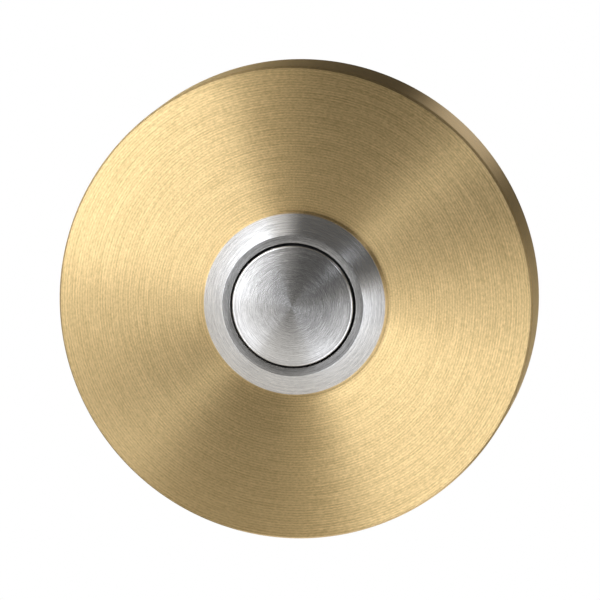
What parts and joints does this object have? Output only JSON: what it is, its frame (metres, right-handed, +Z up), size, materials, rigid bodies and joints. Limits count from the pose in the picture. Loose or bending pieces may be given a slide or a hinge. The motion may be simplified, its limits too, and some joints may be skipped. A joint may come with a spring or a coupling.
{
  "type": "doorbell push",
  "caption": "Round wall-mounted doorbell push: a turned brass cover with a sprung stainless steel button in its middle, on a screwed base, with terminals for the bell wires.",
  "frame": {"origin": "centre of the wall plane, on the button's axis, midway between the wall screws", "axes": "+Y along the button's axis into the wall, -Y out of the face, +Z up"},
  "size_m": [0.05, 0.0319, 0.05],
  "materials": {
    "turned_brass": "satin, fine concentric turning lines",
    "brushed_stainless": "satin, finely brushed",
    "turned_aluminium": "plain turned",
    "plated_steel": "bright zinc plated",
    "dark_steel": "black oxide",
    "spring_steel": "drawn, bright",
    "contact_brass": "bright turned",
    "black_moulding": "moulded, fine grain",
    "seal_rubber": "matt"
  },
  "bodies": {
    "housing": {"cover_disc": "turned_brass", "mounting_plate": "turned_aluminium", "wall_screw_left": "plated_steel", "wall_screw_right": "plated_steel", "set_screw": "dark_steel", "bezel": "brushed_stainless", "flange_seal": "seal_rubber", "lock_washer": "plated_steel", "fixing_nut": "plated_steel", "return_spring": "spring_steel", "contact_carrier": "black_moulding", "terminal_base": "black_moulding", "base_clip": "spring_steel", "fixed_contact_left": "contact_brass", "fixed_contact_right": "contact_brass", "terminal_washer_left": "plated_steel", "terminal_washer_right": "plated_steel", "terminal_screw_left": "plated_steel", "terminal_screw_right": "plated_steel"},
    "button": {"button_cap": "brushed_stainless", "cap_seal": "seal_rubber", "plunger": "black_moulding", "contact_bridge": "contact_brass", "bridge_clip": "spring_steel"}
  },
  "joints": [
    {"name": "button_press", "type": "slide", "parent": "housing", "child": "button", "axis": [0, 1, 0], "range_m": [0, 0.0015], "stiffness_N_per_m": 800, "springref_m": -0.0035, "deforming": ["return_spring"]}
  ]
}
